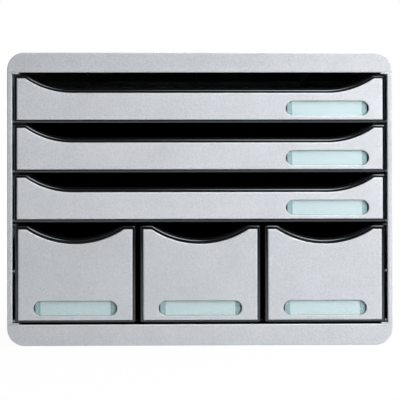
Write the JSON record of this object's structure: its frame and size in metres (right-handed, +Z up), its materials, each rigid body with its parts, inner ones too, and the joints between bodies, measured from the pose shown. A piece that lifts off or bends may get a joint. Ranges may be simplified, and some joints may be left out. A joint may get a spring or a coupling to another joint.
{
  "type": "desktop drawer organizer",
  "caption": "Desktop drawer organizer: a silver case with wide shallow drawers above a row of deep small ones, each with a scooped front edge and a label window.",
  "frame": {"origin": "on the desk, in the middle of the case's width and depth", "axes": "+X to the right as seen from the front, +Y to the back, +Z up"},
  "size_m": [0.355, 0.27, 0.271],
  "materials": {
    "silver_plastic": "satin silver with a fine metallic fleck",
    "black_plastic": "satin moulded black",
    "label_plastic": "clear, with an aqua tint",
    "label_paper": "plain white paper",
    "foot_rubber": "matte"
  },
  "bodies": {
    "case": {"bottom_shell": "silver_plastic", "top_shell": "silver_plastic", "right_side_panel": "silver_plastic", "left_side_panel": "silver_plastic", "back_panel": "black_plastic", "middle_shelf": "black_plastic", "left_divider": "black_plastic", "right_divider": "black_plastic", "foot_front_left": "foot_rubber", "foot_front_right": "foot_rubber", "foot_back_left": "foot_rubber", "foot_back_right": "foot_rubber"},
    "top_drawer": {"top_drawer_tray": "black_plastic", "top_drawer_front": "silver_plastic", "top_drawer_label_sleeve": "label_plastic", "top_drawer_label_card": "label_paper"},
    "middle_drawer": {"middle_drawer_tray": "black_plastic", "middle_drawer_front": "silver_plastic", "middle_drawer_label_sleeve": "label_plastic", "middle_drawer_label_card": "label_paper"},
    "lower_drawer": {"lower_drawer_tray": "black_plastic", "lower_drawer_front": "silver_plastic", "lower_drawer_label_sleeve": "label_plastic", "lower_drawer_label_card": "label_paper"},
    "left_small_drawer": {"left_small_drawer_tray": "black_plastic", "left_small_drawer_front": "silver_plastic", "left_small_drawer_label_sleeve": "label_plastic", "left_small_drawer_label_card": "label_paper"},
    "centre_small_drawer": {"centre_small_drawer_tray": "black_plastic", "centre_small_drawer_front": "silver_plastic", "centre_small_drawer_label_sleeve": "label_plastic", "centre_small_drawer_label_card": "label_paper"},
    "right_small_drawer": {"right_small_drawer_tray": "black_plastic", "right_small_drawer_front": "silver_plastic", "right_small_drawer_label_sleeve": "label_plastic", "right_small_drawer_label_card": "label_paper"}
  },
  "joints": [
    {"name": "top_drawer_slide", "type": "slide", "parent": "case", "child": "top_drawer", "axis": [0, -1, 0], "range_m": [0, 0.19]},
    {"name": "middle_drawer_slide", "type": "slide", "parent": "case", "child": "middle_drawer", "axis": [0, -1, 0], "range_m": [0, 0.19]},
    {"name": "lower_drawer_slide", "type": "slide", "parent": "case", "child": "lower_drawer", "axis": [0, -1, 0], "range_m": [0, 0.19]},
    {"name": "left_small_drawer_slide", "type": "slide", "parent": "case", "child": "left_small_drawer", "axis": [0, -1, 0], "range_m": [0, 0.19]},
    {"name": "centre_small_drawer_slide", "type": "slide", "parent": "case", "child": "centre_small_drawer", "axis": [0, -1, 0], "range_m": [0, 0.19]},
    {"name": "right_small_drawer_slide", "type": "slide", "parent": "case", "child": "right_small_drawer", "axis": [0, -1, 0], "range_m": [0, 0.19]}
  ]
}
